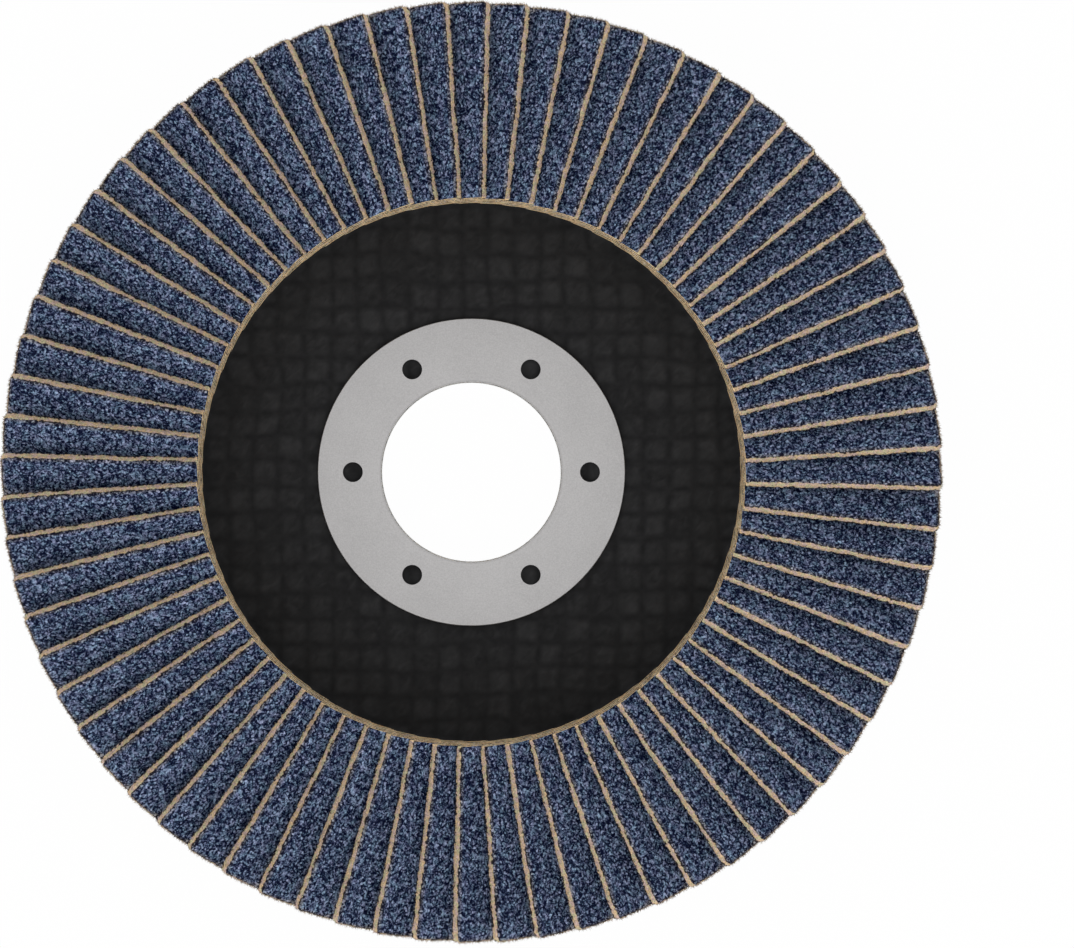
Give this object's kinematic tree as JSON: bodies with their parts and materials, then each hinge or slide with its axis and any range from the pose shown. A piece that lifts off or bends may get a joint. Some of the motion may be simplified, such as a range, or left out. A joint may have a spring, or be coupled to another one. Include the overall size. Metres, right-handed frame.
{
  "type": "flap disc",
  "caption": "Flat-faced flap disc for an angle grinder: overlapping flaps of coated abrasive cloth bonded to a dished glass-fibre plate with a steel-lined bore.",
  "frame": {"origin": "centre of the bore at the back face of the hub, which the disc lies on", "axes": "+Z along the bore out of the working side, +Y to the top of the picture and +X to its right"},
  "size_m": [0.115, 0.115, 0.0144],
  "materials": {
    "ring_steel": "satin",
    "plate_laminate": "matt glass-fibre laminate with a faint woven net",
    "bed_resin": "cured resin, dull",
    "abrasive_cloth": "blue grain on tan cloth"
  },
  "bodies": {
    "root": {"centre_ring": "ring_steel", "backing_plate": "plate_laminate", "resin_bed": "bed_resin", "flap_pair_01": "abrasive_cloth", "flap_pair_02": "abrasive_cloth", "flap_pair_03": "abrasive_cloth", "flap_pair_04": "abrasive_cloth", "flap_pair_05": "abrasive_cloth", "flap_pair_06": "abrasive_cloth", "flap_pair_07": "abrasive_cloth", "flap_pair_08": "abrasive_cloth", "flap_pair_09": "abrasive_cloth", "flap_pair_10": "abrasive_cloth", "flap_pair_11": "abrasive_cloth", "flap_pair_12": "abrasive_cloth", "flap_pair_13": "abrasive_cloth", "flap_pair_14": "abrasive_cloth", "flap_pair_15": "abrasive_cloth", "flap_pair_16": "abrasive_cloth", "flap_pair_17": "abrasive_cloth", "flap_pair_18": "abrasive_cloth", "flap_pair_19": "abrasive_cloth", "flap_pair_20": "abrasive_cloth", "flap_pair_21": "abrasive_cloth", "flap_pair_22": "abrasive_cloth", "flap_pair_23": "abrasive_cloth", "flap_pair_24": "abrasive_cloth", "flap_pair_25": "abrasive_cloth", "flap_pair_26": "abrasive_cloth", "flap_pair_27": "abrasive_cloth", "flap_pair_28": "abrasive_cloth", "flap_pair_29": "abrasive_cloth", "flap_pair_30": "abrasive_cloth", "flap_pair_31": "abrasive_cloth", "flap_pair_32": "abrasive_cloth", "flap_pair_33": "abrasive_cloth", "flap_pair_34": "abrasive_cloth", "flap_pair_35": "abrasive_cloth", "flap_pair_36": "abrasive_cloth"}
  },
  "joints": []
}
